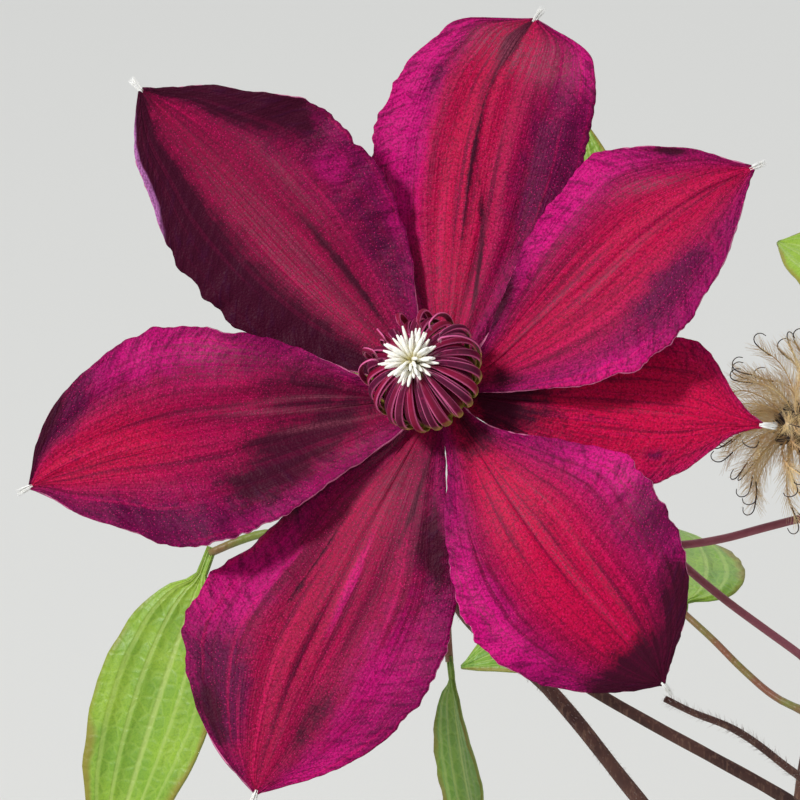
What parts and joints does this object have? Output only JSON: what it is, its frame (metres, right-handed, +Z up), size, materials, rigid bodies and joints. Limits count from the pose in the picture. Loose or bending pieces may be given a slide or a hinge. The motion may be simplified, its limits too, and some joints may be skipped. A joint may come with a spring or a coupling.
{
  "type": "potted clematis",
  "caption": "Climbing plant with large crimson flowers on thin vines tied to a cane tripod, growing in compost in a plain clay pot that stands on a flat surface.",
  "frame": {"origin": "middle of the pot's flat base, on the surface that it stands on", "axes": "+Z up along the pot's axis; -Y is the front, which the large front bloom faces; +X is to the right seen from the front"},
  "size_m": [0.3262, 0.3039, 0.5903],
  "materials": {
    "terracotta": "unglazed, matt",
    "compost": "crumbly, damp",
    "bamboo": "natural, satin",
    "jute": "twisted fibre, matt",
    "vine_bark": "grooved, finely hairy",
    "tepal_skin": "velvety",
    "filament_skin": "smooth, satin",
    "style_skin": "silky",
    "leaf_skin": "satin",
    "plume": "feathery, dry"
  },
  "bodies": {
    "root": {"back_stalk": "vine_bark", "back_stamens": "filament_skin", "back_styles": "style_skin", "back_tepal_1": "tepal_skin", "back_tepal_2": "tepal_skin", "back_tepal_3": "tepal_skin", "back_tepal_4": "tepal_skin", "back_tepal_5": "tepal_skin", "back_tepal_6": "tepal_skin", "bud_left": "leaf_skin", "bud_right": "leaf_skin", "cane_back_left": "bamboo", "cane_back_right": "bamboo", "cane_front": "bamboo", "compost": "compost", "front_stalk": "vine_bark", "front_stamens": "filament_skin", "front_styles": "style_skin", "leaf_01": "leaf_skin", "leaf_02": "leaf_skin", "leaf_03": "leaf_skin", "leaf_04": "leaf_skin", "leaf_05": "leaf_skin", "leaf_06": "leaf_skin", "leaf_07": "leaf_skin", "leaf_08": "leaf_skin", "leaf_09": "leaf_skin", "leaf_10": "leaf_skin", "leaf_11": "leaf_skin", "leaf_12": "leaf_skin", "leaf_13": "leaf_skin", "leaf_14": "leaf_skin", "leaf_15": "leaf_skin", "leaf_16": "leaf_skin", "leaf_17": "leaf_skin", "leafy_shoot": "vine_bark", "long_leaf_right": "leaf_skin", "long_leaf_upper": "leaf_skin", "pot": "terracotta", "seed_head": "plume", "seed_stalk": "vine_bark", "shoot_leaf_down": "leaf_skin", "shoot_leaf_left": "leaf_skin", "tepal_left": "tepal_skin", "tepal_low_left": "tepal_skin", "tepal_low_right": "tepal_skin", "tepal_right": "tepal_skin", "tepal_top": "tepal_skin", "tepal_upper_left": "tepal_skin", "tepal_upper_right": "tepal_skin", "tie_back_left": "jute", "tie_back_right": "jute", "tie_front": "jute", "top_tie": "jute", "vine_back_left": "vine_bark", "vine_back_right": "vine_bark", "vine_front": "vine_bark", "young_shoot": "vine_bark"}
  },
  "joints": []
}
